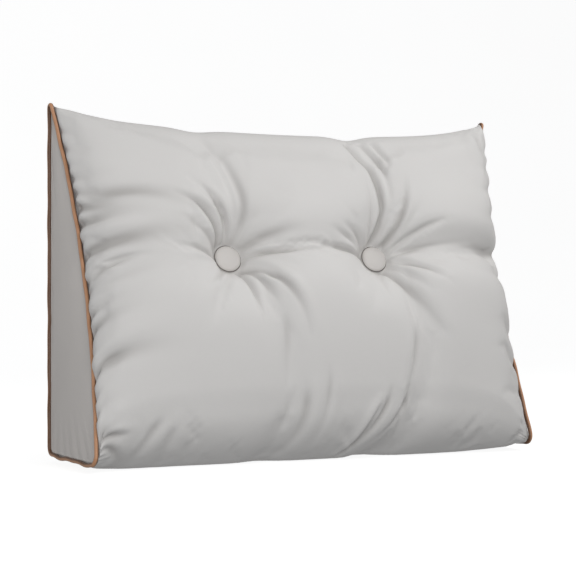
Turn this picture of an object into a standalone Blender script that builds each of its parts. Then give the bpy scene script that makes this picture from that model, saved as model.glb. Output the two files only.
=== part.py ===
"""Wedge-shaped backrest pillow standing on its base, as a maker sews it.

One long cover piece wraps the filling: up the front, over the top, down the back and along the base. A
triangular end panel closes each side, a piping cord is sewn into its seam, and two covered buttons tuft the
front. Units are metres, +Z is up, +X runs along the width and the tufted front faces -Y. The origin is on the
ground, under the middle of the pillow.
"""

import math

import bmesh
import bpy
import numpy as np
from mathutils import Vector

# Driving dimensions of the pillow
WIDTH = 0.700
HEIGHT = 0.500
BACK_Y = 0.0950
SEAM_CORNER = 0.012
SEAM_LIFT = 0.0105
APEX_RADIUS = 0.0044
END_DEPTH = {-1: 0.184, 1: 0.160}
APEX_LEAN = {-1: 0.000, 1: 0.020}
SEAM_PULL = {-1: 0.0165, 1: 0.026}
PULL_PEAK = {-1: 0.52, 1: 0.63}
SIDE_PUFF = 0.013
PANEL_CROWN = 0.006

# Middle of the width: circle centres behind the front, heights and radii of the rounded section
TOP_HEIGHT = 0.470
TOP_RADIUS = 0.027
TOP_SETBACK = 0.036
ROLL_RADIUS = 0.087
ROLL_DEPTH = 0.192
BACK_RADIUS = 0.024
BACK_BULGE = 0.010
FRONT_BULGE = 0.050
BULGE_REACH = (0.0265, 0.022)
BULGE_EASE = 0.011
BASE_PRESS = 0.004
TOP_UP = 0.5158

# Sewn pieces
CORD_RADIUS = 0.003
PANEL_THICKNESS = 0.002
GAP = 0.0004
SEAM_GAP = 0.0009
BUTTON_RADIUS = 0.0205
BUTTON_HEIGHT = 0.009
BUTTON_X = {-1: -WIDTH / 6 - 0.010, 1: WIDTH / 6 - 0.010}
BUTTON_UP = 0.341
SEAT_RADIUS = 0.022
SEAT_BLEND = 0.026
PIT_DEPTH = 0.040

# Columns along the width and rows round the section
COLUMN_STEP = 0.0135
RINGS = 6
BUTTON_STEP = 0.0053
CAP_SHARES = (0.0, 0.35, 0.70, 0.92)
ROWS = {"front": 40, "top": 7, "back": 10, "heel": 3, "base": 6, "roll": 8}

# Soft valleys of the front: start, middle and end as (x, way up the front), half width, depth at either end
VALLEYS = (
    # x0, up0, x1, up1, x2, up2, half width, depth0, depth1
    (BUTTON_X[-1], BUTTON_UP, -0.010, 0.346, BUTTON_X[1], BUTTON_UP, 0.034, 0.014, 0.014),
    (BUTTON_X[-1], BUTTON_UP, -0.220, 0.330, -0.330, 0.325, 0.030, 0.010, 0.004),
    (BUTTON_X[1], BUTTON_UP, 0.212, 0.350, 0.335, 0.350, 0.028, 0.012, 0.030),
    (BUTTON_X[-1], BUTTON_UP, -0.132, 0.440, -0.150, 0.560, 0.030, 0.010, 0.004),
    (BUTTON_X[1], BUTTON_UP, 0.116, 0.440, 0.098, 0.560, 0.028, 0.011, 0.006),
    (BUTTON_X[-1], BUTTON_UP, -0.070, 0.190, -0.085, 0.015, 0.026, 0.008, 0.005),
    (BUTTON_X[1], BUTTON_UP, 0.155, 0.190, 0.085, 0.005, 0.026, 0.009, 0.009),
)

# Where the cover pushes out past its right seam, and where the tuft draws it in
PUFFS = (
    # side, height, half height, share of SIDE_PUFF
    (1, 0.430, 0.045, 0.85),
    (1, 0.272, 0.036, -0.75),
    (1, 0.195, 0.028, 0.50),
)

COLOURS = {
    "cover": ((0.60, 0.59, 0.58), 0.62),
    "panel": ((0.56, 0.55, 0.54), 0.62),
    "piping": ((0.36, 0.20, 0.11), 0.45),
    "button": ((0.60, 0.58, 0.57), 0.60),
}
PIECES = ("front", "top", "back", "heel", "base", "roll")


def clear_scene():
    """Removes every object, so that the file can be run again."""
    for old in list(bpy.data.objects):
        bpy.data.objects.remove(old, do_unlink=True)


def material(name):
    """Principled cloth material with the piece's colour and roughness."""
    made = bpy.data.materials.new(name)
    made.use_nodes = True
    shader = made.node_tree.nodes["Principled BSDF"]
    colour, roughness = COLOURS[name]
    shader.inputs["Base Color"].default_value = (*colour, 1.0)
    shader.inputs["Roughness"].default_value = roughness
    shader.inputs["Metallic"].default_value = 0.0
    return made


def belt(circles, loop, grow=0.0):
    """Points (y, z) of a belt round three circles (y, z, radius): front foot, top, back foot.

    loop counts the six pieces of the belt from the front line: a whole part picks the piece, in the order of
    PIECES, and the fraction is the share along it. grow moves the belt out, along its normal.
    """
    centres = np.array([c[:2] for c in circles])
    radii = np.array([c[2] + grow for c in circles])
    ahead = (1, 2, 0)
    normals = []
    for i, j in enumerate(ahead):
        way = centres[j] - centres[i]
        length = np.hypot(*way)
        along = way / length
        lean = (radii[i] - radii[j]) / length
        left = np.array((-along[1], along[0]))
        normals.append(lean * along + math.sqrt(1 - lean * lean) * left)
    angles = [math.atan2(n[1], n[0]) for n in normals]
    piece = np.minimum(np.floor(loop).astype(int), 5)
    share = loop - piece
    points = np.zeros((*np.shape(loop), 2))
    outward = np.zeros_like(points)
    for i, j in enumerate(ahead):
        line = piece == 2 * i
        start = centres[i] + radii[i] * normals[i]
        end = centres[j] + radii[j] * normals[i]
        points[line] = start + (end - start) * share[line, None]
        outward[line] = normals[i]
        arc = piece == 2 * i + 1
        turn = (angles[j] - angles[i]) % (2 * math.pi) - 2 * math.pi
        angle = angles[i] + turn * share[arc]
        outward[arc] = np.stack((np.cos(angle), np.sin(angle)), axis=-1)
        points[arc] = centres[j] + radii[j] * outward[arc]
    return points, outward


def seam_circles(side):
    """The end seam of one side: a slim right triangle with rounded corners, standing on its short edge."""
    low = SEAM_LIFT + SEAM_CORNER
    return (
        (-END_DEPTH[side] + SEAM_CORNER, low, SEAM_CORNER),
        (-APEX_RADIUS - APEX_LEAN[side], HEIGHT - APEX_RADIUS, APEX_RADIUS),
        (-SEAM_CORNER, low, SEAM_CORNER),
    )


def middle_circles():
    """The section in the middle of the width, plumper and lower than the end seams."""
    return (
        (-ROLL_DEPTH + ROLL_RADIUS, ROLL_RADIUS - BASE_PRESS, ROLL_RADIUS),
        (-TOP_SETBACK, TOP_HEIGHT - TOP_RADIUS, TOP_RADIUS),
        (-BACK_RADIUS, BACK_RADIUS - BASE_PRESS, BACK_RADIUS),
    )


def end_x(side, y, z):
    """Distance of the end's surface from the middle: the seam pulled in half way up its front edge, and the
    panel crowned between its seams."""
    up = np.clip((z - SEAM_LIFT) / (HEIGHT - SEAM_LIFT), 0, 1)
    front = END_DEPTH[side] * (1 - up) + APEX_LEAN[side] * up
    across = np.clip(-y / (front + 0.004), 0, 1)
    peak = PULL_PEAK[side]
    sharpness = peak / (1 - peak)
    pull = up**sharpness * (1 - up) / (peak**sharpness * (1 - peak))
    crown = 4 * across * (1 - across) * 2.6 * (1 - up) * up**0.5
    return WIDTH / 2 - SEAM_PULL[side] * pull * across + PANEL_CROWN * crown


def metres_up(loop):
    """Way up the front in metres, measured round the middle section: TOP_UP where the top's arc begins."""
    places = np.append(np.linspace(0, 5.999, 1200), 6.0)
    points, _ = belt(middle_circles(), places[:-1])
    steps = np.hypot(*np.diff(points, axis=0, append=points[:1]).T)
    run = np.concatenate(([0.0], np.cumsum(steps)))
    reached = np.interp(loop, places, run)
    below = np.where(loop >= 4.5, reached - run[-1], reached)
    return TOP_UP + below - np.interp(1.0, places, run)


def front_bulge(loop):
    """How far the belly stands out: one sine arch from the roll to the top's arc, eased at both ends by a
    weighted mean over a few places beside each point."""
    foot, top = metres_up(np.array((0.0, 1.0)))
    below, above = BULGE_REACH
    up = metres_up(loop)
    steps = np.arange(-4, 5)
    weights = np.exp(-0.5 * (steps * 0.5) ** 2)
    arch = sum(
        weight * np.sin(np.pi * np.clip((up + step * 0.5 * BULGE_EASE - foot + below) / (top - foot + below + above), 0, 1))
        for step, weight in zip(steps, weights)
    )
    return np.where((loop < 2) | (loop > 5), FRONT_BULGE * arch / weights.sum(), 0.0)


def fold_depth(x, up, row):
    """Depth of one soft valley: a bell across a curve through three points, its depth changing evenly along."""
    x0, up0, x1, up1, x2, up2, half_width, depth0, depth1 = row
    share = np.linspace(0, 1, 13)
    bend = np.array(((x0, up0), (2 * x1 - (x0 + x2) / 2, 2 * up1 - (up0 + up2) / 2), (x2, up2)))
    weights = np.stack(((1 - share) ** 2, 2 * share * (1 - share), share**2), axis=-1)
    path = weights @ bend
    nearest = np.full(np.shape(x), np.inf)
    depth = np.zeros(np.shape(x))
    for i in range(len(path) - 1):
        step = path[i + 1] - path[i]
        offset_x = x - path[i, 0]
        offset_up = up - path[i, 1]
        part = np.clip((offset_x * step[0] + offset_up * step[1]) / (step @ step), 0, 1)
        distance = np.hypot(offset_x - part * step[0], offset_up - part * step[1])
        closer = distance < nearest
        along = (i + part) / (len(path) - 1)
        depth = np.where(closer, depth0 + (depth1 - depth0) * along, depth)
        nearest = np.where(closer, distance, nearest)
    return depth * np.exp(-((nearest / half_width) ** 2))


def seam_ends(left, right):
    """Where the cover ends at the left and the right, for points (y, z) of the two seams."""
    offset = CORD_RADIUS + SEAM_GAP
    return -end_x(-1, left[..., 0], left[..., 1]) + offset, end_x(1, right[..., 0], right[..., 1]) - offset


def cover_points(t, loop):
    """Points of the filled cover: t runs from the left end, -1, to the right end, 1, and loop round it.

    Each section blends from the end seam to the plump middle section. The blend rises steeply beside the seam,
    as filled cloth does, and the top sags between its two corners.
    """
    shape = np.shape(t)
    inset = -0.0008
    left, _ = belt(seam_circles(-1), loop, inset)
    right, _ = belt(seam_circles(1), loop, inset)
    middle, outward = belt(middle_circles(), loop)
    piece = np.minimum(np.floor(loop).astype(int), 5)
    share = loop - piece
    swell = np.sin(np.pi * np.clip(share, 0, 1))
    bulge = np.where(piece == 2, BACK_BULGE * swell**1.4, front_bulge(loop))
    middle = middle + outward * bulge[..., None]

    right_share = (t + 1) / 2
    seam = left + (right - left) * right_share[..., None]
    x_left, x_right = seam_ends(left, right)
    x = x_left + (x_right - x_left) * right_share

    size = np.clip(np.abs(t), 0, 1)
    height = seam[..., 1] / HEIGHT
    low_right = np.clip((0.58 - height) / 0.5, 0, 1) * (t > 0)
    rise = (1 - size**4) ** (0.38 + 0.40 * low_right)
    sag = (1 - size**2) ** 0.6
    near_top = np.clip((height - 0.72) / 0.26, 0, 1)
    near_top = near_top**2 * (3 - 2 * near_top)
    blend = np.stack((rise + (sag - rise) * 0.3 * near_top, rise + (sag - rise) * near_top), axis=-1)
    section = seam + (middle - seam) * blend
    lobe = 4 * rise * (1 - rise) * (1 - low_right)
    for side, middle_height, half, share_out in PUFFS:
        puff = share_out * np.exp(-(((seam[..., 1] - middle_height) / half) ** 2))
        lobe = lobe + np.where(side * t > 0, puff * 6.75 * rise**2 * (1 - rise), 0.0)
    x = x + np.sign(t) * SIDE_PUFF * lobe * np.where(piece == 0, swell**0.4, 0.0)

    points = np.stack((x, section[..., 0], section[..., 1]), axis=-1).reshape(*shape, 3)
    up = metres_up(loop)
    normal = np.stack((np.zeros(shape), outward[..., 0], outward[..., 1]), axis=-1)
    depth = sum(fold_depth(x, up, row) ** 4 for row in VALLEYS) ** 0.25
    for side in (-1, 1):
        away = np.hypot(x - BUTTON_X[side], up - BUTTON_UP)
        depth = depth + PIT_DEPTH * np.exp(-((away / 0.058) ** 1.25))
    depth = depth * (1 - size**24)
    points = points - normal * depth[..., None]
    points[..., 2] = np.maximum(points[..., 2], 0.0)
    points[..., 1] += BACK_Y
    return points


def loop_at(up):
    """The loop value at a way up the front line, the inverse of metres_up there."""
    loops = np.linspace(0, 1, 400)
    return float(np.interp(up, metres_up(loops), loops))


def button_t(side):
    """The value of t at one button."""
    loop = np.array([loop_at(BUTTON_UP)])
    left, right = (belt(seam_circles(way), loop)[0] for way in (-1, 1))
    x_left, x_right = seam_ends(left, right)
    return float(2 * (BUTTON_X[side] - x_left[0]) / (x_right[0] - x_left[0]) - 1)


def button_seat(side):
    """Centre and outward normal of the flat seat under one button."""
    loop = loop_at(BUTTON_UP)
    t = button_t(side)
    middle = cover_points(np.array([t]), np.array([loop]))[0]
    above = cover_points(np.array([t]), np.array([loop + 0.1]))[0]
    below = cover_points(np.array([t]), np.array([loop - 0.1]))[0]
    rise = Vector(above - below).normalized()
    normal = Vector((1, 0, 0)).cross(rise).normalized()
    return Vector(middle), normal


def flatten_seats(points):
    """Lays the cover flat under each button and lets it rise smoothly beyond the rim."""
    for side in (-1, 1):
        centre, normal = (np.array(v) for v in button_seat(side))
        lift = (points - centre) @ normal
        foot = points - lift[..., None] * normal
        away = np.linalg.norm(foot - centre, axis=-1)
        share = np.clip((away - SEAT_RADIUS) / SEAT_BLEND, 0, 1)
        share = share**2 * (3 - 2 * share)
        front = np.abs(lift) < 0.06
        points = np.where(front[..., None], foot + (lift * share)[..., None] * normal, points)
    return points


def spaced(start, end, step):
    """Evenly spaced places from start up to but not including end."""
    return np.linspace(start, end, max(round((end - start) / step), 1) + 1)[:-1]


def columns():
    """Values of t across the width, closer together beside the buttons and the end seams."""
    reach = WIDTH / 2
    edge = np.array((0.0, 0.006, 0.014, 0.025, 0.038)) / reach
    near = np.arange(-RINGS, RINGS + 1) * BUTTON_STEP / reach
    left, right = (button_t(side) + near for side in (-1, 1))
    step = COLUMN_STEP / reach
    return np.concatenate((
        edge[:-1] - 1,
        spaced(edge[-1] - 1, left[0], step),
        left[:-1],
        spaced(left[-1], right[0], step),
        right[:-1],
        spaced(right[-1], 1 - edge[-1], step),
        1 - edge[::-1],
    ))


def loop_rows():
    """Loop values of the rows round the section, closer together beside the buttons."""
    centre = loop_at(BUTTON_UP)
    step = loop_at(BUTTON_UP + BUTTON_STEP) - centre
    button = centre + np.arange(-RINGS, RINGS + 1) * step
    spare = ROWS["front"] - len(button)
    below = round(spare * button[0] / (button[0] + 1 - button[-1]))
    front = np.concatenate((
        np.linspace(0, button[0], below + 1)[:-1],
        button,
        np.linspace(button[-1], 1, spare - below + 1)[1:-1],
    ))
    others = [i + np.arange(ROWS[name]) / ROWS[name] for i, name in enumerate(PIECES) if name != "front"]
    return np.concatenate((front, *others))


def round_off(t, loop):
    """Draws the square rings of grid points round each button into circles."""
    centre = loop_at(BUTTON_UP)
    length = BUTTON_STEP / (loop_at(BUTTON_UP + BUTTON_STEP) - centre)
    outer = RINGS * BUTTON_STEP
    for side in (-1, 1):
        middle = button_t(side)
        across = (t - middle) * WIDTH / 2
        along = (loop - centre) * length
        square = np.maximum(np.abs(across), np.abs(along))
        straight = np.maximum(np.hypot(across, along), 1e-9)
        share = np.clip(2 - square / outer, 0, 1)
        scale = 1 + (square / straight - 1) * share
        front = (loop > 0) & (loop < 1) & (square > 1e-9)
        t = np.where(front, middle + across * scale * 2 / WIDTH, t)
        loop = np.where(front, centre + along * scale / length, loop)
    return t, loop


def cap_points(side, share, loop, inset, offset):
    """Points of an end surface: the seam outline, inset, shrunk by share towards the panel's middle."""
    outline, _ = belt(seam_circles(side), loop, -inset)
    centre = np.array((-0.36 * END_DEPTH[side], 0.17))
    section = centre + (outline - centre) * share[..., None]
    x = side * (end_x(side, section[..., 0], section[..., 1]) - offset)
    return np.stack((x, section[..., 0] + BACK_Y, section[..., 1]), axis=-1)


def grid_object(name, points, collection):
    """A mesh from a Blender grid whose rows and columns are moved onto the given points, then closed.

    points has the shape (columns, rows, 3). The last row meets the first, and a first or last column whose
    points coincide is a pole.
    """
    across, around = points.shape[:2]
    made = bmesh.new()
    bmesh.ops.create_grid(made, x_segments=across - 1, y_segments=around, size=1)
    corners = sorted(made.verts, key=lambda v: (round(v.co.x, 5), round(v.co.y, 5)))
    closed = np.concatenate((points, points[:, :1]), axis=1).reshape(-1, 3)
    for vertex, place in zip(corners, closed):
        vertex.co = place
    bmesh.ops.remove_doubles(made, verts=made.verts, dist=1e-6)
    bmesh.ops.recalc_face_normals(made, faces=made.faces)
    mesh = bpy.data.meshes.new(name)
    made.to_mesh(mesh)
    made.free()
    mesh.shade_smooth()
    mesh.set_sharp_from_angle(angle=math.radians(50))
    placed = bpy.data.objects.new(name, mesh)
    collection.objects.link(placed)
    return placed


def build_cover(collection):
    """The filled cover: end surface, sections along the width, end surface, as one grid with a pole at each end."""
    rows = loop_rows()
    t, loop = np.meshgrid(columns(), rows, indexing="ij")
    body = flatten_seats(cover_points(*round_off(t, loop)))
    inner, around = np.meshgrid(np.array(CAP_SHARES), rows, indexing="ij")
    offset = CORD_RADIUS + SEAM_GAP
    left = cap_points(-1, inner, around, 0.0008, offset)
    right = cap_points(1, inner, around, 0.0008, offset)
    return grid_object("cover", np.concatenate((left, body, right[::-1])), collection)


def build_end_panel(side, name, collection):
    """A sewn end panel: a thin crowned sheet that fills the piping's loop."""
    inset = CORD_RADIUS + GAP
    inner_offset = CORD_RADIUS
    outer_offset = inner_offset - PANEL_THICKNESS
    shares = np.array((*CAP_SHARES, 1.0))
    share, loop = np.meshgrid(shares, loop_rows()[::2], indexing="ij")
    outer = cap_points(side, share, loop, inset, outer_offset)
    inner = cap_points(side, share, loop, inset, inner_offset)
    return grid_object(name, np.concatenate((outer, inner[::-1])), collection)


def build_piping(side, name, collection):
    """The piping: a round cord laid along the seam, as a closed curve with a bevel."""
    loops = np.concatenate((
        np.linspace(0, 1, 36, endpoint=False),
        np.linspace(1, 2, 10, endpoint=False),
        np.linspace(2, 3, 28, endpoint=False),
        np.linspace(3, 4, 5, endpoint=False),
        np.linspace(4, 5, 8, endpoint=False),
        np.linspace(5, 6, 5, endpoint=False),
    ))
    path = cap_points(side, np.ones_like(loops), loops, 0.0, 0.0)
    curve = bpy.data.curves.new(name, "CURVE")
    curve.dimensions = "3D"
    curve.bevel_depth = CORD_RADIUS
    curve.bevel_resolution = 2
    spline = curve.splines.new("POLY")
    spline.points.add(len(path) - 1)
    for point, place in zip(spline.points, path):
        point.co = (*place, 1.0)
    spline.use_cyclic_u = True
    placed = bpy.data.objects.new(name, curve)
    collection.objects.link(placed)
    return placed


def build_button(side, name, collection):
    """A covered button: a low dome turned about its axis, standing on its seat."""
    profile = (
        (0.0, BUTTON_HEIGHT),
        (0.30 * BUTTON_RADIUS, 0.97 * BUTTON_HEIGHT),
        (0.60 * BUTTON_RADIUS, 0.87 * BUTTON_HEIGHT),
        (0.83 * BUTTON_RADIUS, 0.69 * BUTTON_HEIGHT),
        (0.96 * BUTTON_RADIUS, 0.45 * BUTTON_HEIGHT),
        (BUTTON_RADIUS, 0.28 * BUTTON_HEIGHT),
        (0.96 * BUTTON_RADIUS, 0.12 * BUTTON_HEIGHT),
        (0.88 * BUTTON_RADIUS, GAP),
        (0.0, GAP),
    )
    mesh = bpy.data.meshes.new(name)
    mesh.from_pydata([(r, 0, z) for r, z in profile], [(i, i + 1) for i in range(len(profile) - 1)], [])
    placed = bpy.data.objects.new(name, mesh)
    collection.objects.link(placed)
    turn = placed.modifiers.new("turned", "SCREW")
    turn.axis = "Z"
    turn.steps = 32
    turn.render_steps = 32
    turn.use_merge_vertices = True
    turn.merge_threshold = 1e-5
    centre, normal = button_seat(side)
    placed.rotation_mode = "QUATERNION"
    placed.rotation_quaternion = normal.to_track_quat("Z", "Y")
    placed.location = centre
    return placed


def main():
    """Builds the filled cover, and the panels, cords and buttons sewn to it."""
    clear_scene()
    collection = bpy.data.collections.new("backrest_pillow")
    bpy.context.scene.collection.children.link(collection)
    cloths = {name: material(name) for name in COLOURS}
    made = [(build_cover(collection), "cover")]
    for side, word in ((-1, "left"), (1, "right")):
        made.append((build_end_panel(side, f"end_panel_{word}", collection), "panel"))
        made.append((build_piping(side, f"piping_{word}", collection), "piping"))
        made.append((build_button(side, f"button_{word}", collection), "button"))
    for placed, name in made:
        placed.data.materials.append(cloths[name])


main()
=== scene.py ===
# %% [markdown]
# # A wedge backrest pillow, dressed
#
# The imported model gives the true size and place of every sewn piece: a long cover that wraps the filling, two
# triangular end panels, a piping cord round each and two covered buttons. Here each piece gets its fine cloth
# surface and its finish. All of it is one soft body that stands on its base, so everything rides on the same
# body.

# %% Load the pillow's solids
import math

import bpy
import numpy as np
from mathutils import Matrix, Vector


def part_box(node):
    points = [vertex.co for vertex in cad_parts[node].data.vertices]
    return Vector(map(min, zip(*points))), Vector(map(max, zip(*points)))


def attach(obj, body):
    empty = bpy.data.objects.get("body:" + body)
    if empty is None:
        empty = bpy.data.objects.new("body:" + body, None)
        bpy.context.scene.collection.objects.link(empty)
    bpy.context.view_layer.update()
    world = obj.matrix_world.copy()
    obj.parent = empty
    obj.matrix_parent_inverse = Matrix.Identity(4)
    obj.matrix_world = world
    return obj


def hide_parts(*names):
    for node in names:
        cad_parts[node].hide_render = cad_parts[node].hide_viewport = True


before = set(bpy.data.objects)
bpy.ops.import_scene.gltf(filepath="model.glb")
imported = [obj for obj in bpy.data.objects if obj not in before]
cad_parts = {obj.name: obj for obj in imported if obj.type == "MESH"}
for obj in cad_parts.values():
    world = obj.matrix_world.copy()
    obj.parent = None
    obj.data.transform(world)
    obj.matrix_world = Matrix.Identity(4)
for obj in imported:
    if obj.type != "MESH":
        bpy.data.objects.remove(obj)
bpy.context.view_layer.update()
print("solids:", sorted(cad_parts))

# %% [markdown]
# ## Camera
#
# The pillow was photographed from its front left, level with its middle, with a long lens, so that upright edges
# stay upright. A camera is a place, a direction and a focal length. The direction is found from two angles, and
# the lens from the picture's width in pixels: 36 mm of sensor spread over 576 pixels.

# %% Camera at the photograph's angle
PICTURE = 576
AZIMUTH, ELEVATION = math.radians(-26.6), math.radians(0.17)
DISTANCE = 2.633
FOCAL_PIXELS = 1758.5
BACK_Y = 0.0950

towards = Vector((
    math.sin(AZIMUTH) * math.cos(ELEVATION),
    -math.cos(AZIMUTH) * math.cos(ELEVATION),
    math.sin(ELEVATION),
))
aim = Vector((0.0239, BACK_Y, 0.2437))
eye = bpy.data.objects.new("camera", bpy.data.cameras.new("camera"))
bpy.context.scene.collection.objects.link(eye)
eye.data.sensor_width = 36
eye.data.lens = FOCAL_PIXELS * 36 / PICTURE
eye.location = aim + towards * DISTANCE
eye.rotation_euler = towards.to_track_quat("Z", "Y").to_euler()
bpy.context.scene.camera = eye
print(f"lens {eye.data.lens:.1f} mm, {DISTANCE} m away")

# %% [markdown]
# ## The seams
#
# A pillow's shape starts from its flat pattern. The end panel is a slim triangle with rounded corners, so its seam
# is a belt laid round three circles: straight where it leaves a circle, and an arc on it. The same belt with
# bigger circles gives the plump section in the middle of the width. One function serves both, and a number from 0
# to 6 tells how far round the belt a point is: up the front, over the top, down the back, round the heel, along
# the base and up the front roll.

# %% Sizes of the pattern and the belt round three circles
WIDTH, HEIGHT = 0.700, 0.500
SEAM_CORNER, SEAM_LIFT, APEX_RADIUS = 0.012, 0.0105, 0.0044
END_DEPTH = {-1: 0.184, 1: 0.160}
APEX_LEAN = {-1: 0.000, 1: 0.020}
SEAM_PULL = {-1: 0.0165, 1: 0.026}
PULL_PEAK = {-1: 0.52, 1: 0.63}
SIDE_PUFF, PANEL_CROWN = 0.013, 0.006
TOP_HEIGHT, TOP_RADIUS, TOP_SETBACK = 0.470, 0.027, 0.036
ROLL_RADIUS, ROLL_DEPTH = 0.087, 0.192
BACK_RADIUS, BACK_BULGE, BASE_PRESS, TOP_UP = 0.024, 0.010, 0.004, 0.5158
FRONT_BULGE, BULGE_REACH, BULGE_EASE = 0.050, (0.0265, 0.022), 0.011
CORD_RADIUS, CLEARANCE, INSET, STITCH = 0.003, 0.0009, 0.0008, 0.0045
WORDS = {-1: "left", 1: "right"}


def smooth(value):
    """The S-curve 3v squared - 2v cubed, between 0 and 1."""
    value = np.clip(value, 0, 1)
    return value**2 * (3 - 2 * value)


def belt(circles, loop, grow=0.0):
    """Points (y, z) and outward normals of a belt round three circles (y, z, radius).

    Between two circles the normal n is the one whose product with the way between their centres equals the
    difference of their radii; on a circle it turns evenly from one line's normal to the next.
    """
    centres = np.array([c[:2] for c in circles])
    radii = np.array([c[2] + grow for c in circles])
    ahead = (1, 2, 0)
    normals = []
    for i, j in enumerate(ahead):
        way = centres[j] - centres[i]
        along = way / np.hypot(*way)
        lean = (radii[i] - radii[j]) / np.hypot(*way)
        normals.append(lean * along + math.sqrt(1 - lean * lean) * np.array((-along[1], along[0])))
    angles = [math.atan2(n[1], n[0]) for n in normals]
    piece = np.minimum(np.floor(loop).astype(int), 5)
    share = loop - piece
    points = np.zeros((*np.shape(loop), 2))
    outward = np.zeros_like(points)
    for i, j in enumerate(ahead):
        line, arc = piece == 2 * i, piece == 2 * i + 1
        start, end = centres[i] + radii[i] * normals[i], centres[j] + radii[j] * normals[i]
        points[line] = start + (end - start) * share[line, None]
        outward[line] = normals[i]
        turn = (angles[j] - angles[i]) % (2 * math.pi) - 2 * math.pi
        angle = angles[i] + turn * share[arc]
        outward[arc] = np.stack((np.cos(angle), np.sin(angle)), axis=-1)
        points[arc] = centres[j] + radii[j] * outward[arc]
    return points, outward


def seam_circles(side):
    low = SEAM_LIFT + SEAM_CORNER
    return (
        (-END_DEPTH[side] + SEAM_CORNER, low, SEAM_CORNER),
        (-APEX_RADIUS - APEX_LEAN[side], HEIGHT - APEX_RADIUS, APEX_RADIUS),
        (-SEAM_CORNER, low, SEAM_CORNER),
    )


MIDDLE_CIRCLES = (
    (-ROLL_DEPTH + ROLL_RADIUS, ROLL_RADIUS - BASE_PRESS, ROLL_RADIUS),
    (-TOP_SETBACK, TOP_HEIGHT - TOP_RADIUS, TOP_RADIUS),
    (-BACK_RADIUS, BACK_RADIUS - BASE_PRESS, BACK_RADIUS),
)
run_places = np.append(np.linspace(0, 5.999, 1200), 6.0)
run_points, _ = belt(MIDDLE_CIRCLES, run_places[:-1])
run = np.concatenate(([0.0], np.cumsum(np.hypot(*np.diff(run_points, axis=0, append=run_points[:1]).T))))
print(f"the cover is {run[-1]:.3f} m round in the middle")


def metres_up(loop):
    """Way up the front in metres, round the middle section: TOP_UP where the top's arc begins."""
    reached = np.interp(loop, run_places, run)
    return TOP_UP + np.where(loop >= 4.5, reached - run[-1], reached) - np.interp(1.0, run_places, run)


def loop_at(up):
    """The loop value at a way up the front line."""
    loops = np.linspace(0, 1, 400)
    return float(np.interp(up, metres_up(loops), loops))


def end_x(side, y, z):
    """How far out the end's surface lies: the width's half, less the pull of the filling on the front seam, a
    skewed parabola of the height, plus the crown of the panel between its seams."""
    up = np.clip((z - SEAM_LIFT) / (HEIGHT - SEAM_LIFT), 0, 1)
    front = END_DEPTH[side] * (1 - up) + APEX_LEAN[side] * up
    across = np.clip(-y / (front + 0.004), 0, 1)
    peak = PULL_PEAK[side]
    sharpness = peak / (1 - peak)
    pull = up**sharpness * (1 - up) / (peak**sharpness * (1 - peak))
    crown = 4 * across * (1 - across) * 2.6 * (1 - up) * up**0.5
    return WIDTH / 2 - SEAM_PULL[side] * pull * across + PANEL_CROWN * crown


# %% [markdown]
# ## The filled cover
#
# The filling pushes the cloth out until it is round, and the end seams and the two button threads hold it back.
# A block with rounded edges would miss that: the crown has to rise steeply beside a seam and flatten towards the
# middle. So every point is a blend of the end seam and the plump middle section, with the share
# (1 - t to the fourth) to a power below one half. The tufts are bell-shaped pits, and soft valleys run from them to
# the seams, where the thread's pull reaches through the filling.

# %% Blend of seam and middle section, with pits and valleys
BUTTON_X, BUTTON_UP = {-1: -WIDTH / 6 - 0.010, 1: WIDTH / 6 - 0.010}, 0.341
SEAT_RADIUS, SEAT_BLEND, RIM_EASE = 0.0192, 0.011, 0.006
PIT_DEPTH, PIT_REACH, PIT_POWER = 0.042, 0.058, 1.25
VALLEYS = (
    # x0, up0, x1, up1, x2, up2, half width, depth0, depth1
    (BUTTON_X[-1], BUTTON_UP, -0.010, 0.346, BUTTON_X[1], BUTTON_UP, 0.034, 0.014, 0.014),
    (BUTTON_X[-1], BUTTON_UP, -0.220, 0.330, -0.330, 0.325, 0.030, 0.010, 0.004),
    (BUTTON_X[1], BUTTON_UP, 0.212, 0.350, 0.335, 0.350, 0.028, 0.012, 0.030),
    (BUTTON_X[-1], BUTTON_UP, -0.132, 0.440, -0.150, 0.560, 0.030, 0.010, 0.004),
    (BUTTON_X[1], BUTTON_UP, 0.116, 0.440, 0.098, 0.560, 0.028, 0.011, 0.006),
    (BUTTON_X[-1], BUTTON_UP, -0.070, 0.190, -0.085, 0.015, 0.026, 0.008, 0.005),
    (BUTTON_X[1], BUTTON_UP, 0.155, 0.190, 0.085, 0.005, 0.026, 0.009, 0.009),
    (BUTTON_X[-1], BUTTON_UP, -0.092, 0.378, -0.060, 0.425, 0.030, 0.016, 0.004),
)
PUFFS = (
    # side, height, half height, share of SIDE_PUFF
    (1, 0.485, 0.024, 1.20),
    (1, 0.430, 0.045, 0.85),
    (1, 0.272, 0.036, -0.75),
    (1, 0.195, 0.028, 0.50),
)


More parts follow.
